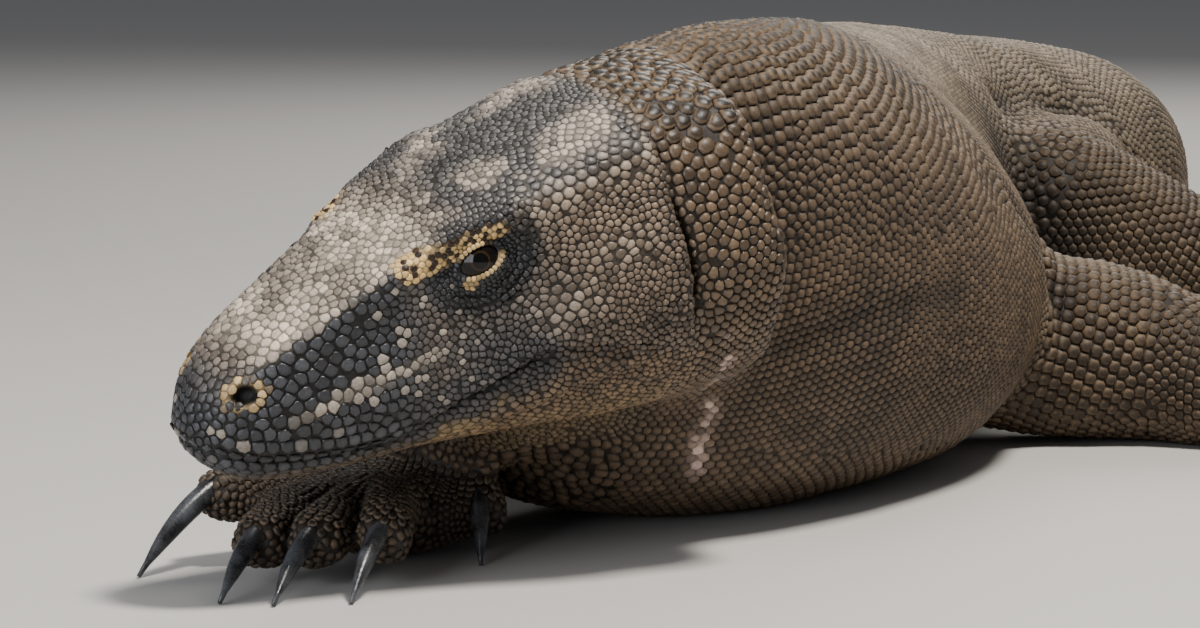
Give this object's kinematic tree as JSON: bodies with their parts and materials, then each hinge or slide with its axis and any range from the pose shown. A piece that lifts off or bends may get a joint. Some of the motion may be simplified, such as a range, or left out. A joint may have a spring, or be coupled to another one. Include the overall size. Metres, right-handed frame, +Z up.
{
  "type": "komodo dragon, life-size still model",
  "caption": "Life-size still model of a resting monitor lizard, chin on its right forefoot, neck bent, tail curled round behind.",
  "frame": {"origin": "middle of the footprint, on the floor", "axes": "+Z up, -Y the way the chest faces, +X the animal's left; the head points to -X and -Y"},
  "size_m": [0.7494, 1.6332, 0.2253],
  "materials": {
    "body_hide": "dull dark grey-brown beaded scales with paler rims and dusty backs",
    "head_hide": "slate snout plates, dusty crown, bead scales on the temples, yellow brows",
    "jaw_hide": "brown-yellow small scales along lips, chin and throat",
    "limb_hide": "dark grey-brown beads, rough and dusty",
    "claw": "dark horn, worn paler at the root and point",
    "eye": "wet dark brown eye with a round pupil"
  },
  "bodies": {
    "root": {"abdomen": "body_hide", "chest": "body_hide", "claw_foot_left_1": "claw", "claw_foot_left_2": "claw", "claw_foot_left_3": "claw", "claw_foot_left_4": "claw", "claw_foot_left_5": "claw", "claw_foot_right_1": "claw", "claw_foot_right_2": "claw", "claw_foot_right_3": "claw", "claw_foot_right_4": "claw", "claw_foot_right_5": "claw", "claw_hand_left_1": "claw", "claw_hand_left_2": "claw", "claw_hand_left_3": "claw", "claw_hand_left_4": "claw", "claw_hand_left_5": "claw", "claw_hand_right_1": "claw", "claw_hand_right_2": "claw", "claw_hand_right_3": "claw", "claw_hand_right_4": "claw", "claw_hand_right_5": "claw", "eye_left": "eye", "eye_right": "eye", "foot_left": "limb_hide", "foot_right": "limb_hide", "forearm_left": "limb_hide", "forearm_right": "limb_hide", "hand_left": "limb_hide", "hand_right": "limb_hide", "head": "head_hide", "lower_jaw": "jaw_hide", "neck": "body_hide", "pelvis": "body_hide", "shank_left": "limb_hide", "shank_right": "limb_hide", "tail_1": "body_hide", "tail_2": "body_hide", "tail_3": "body_hide", "tail_4": "body_hide", "thigh_left": "body_hide", "thigh_right": "body_hide", "upper_arm_left": "body_hide", "upper_arm_right": "body_hide"}
  },
  "joints": []
}
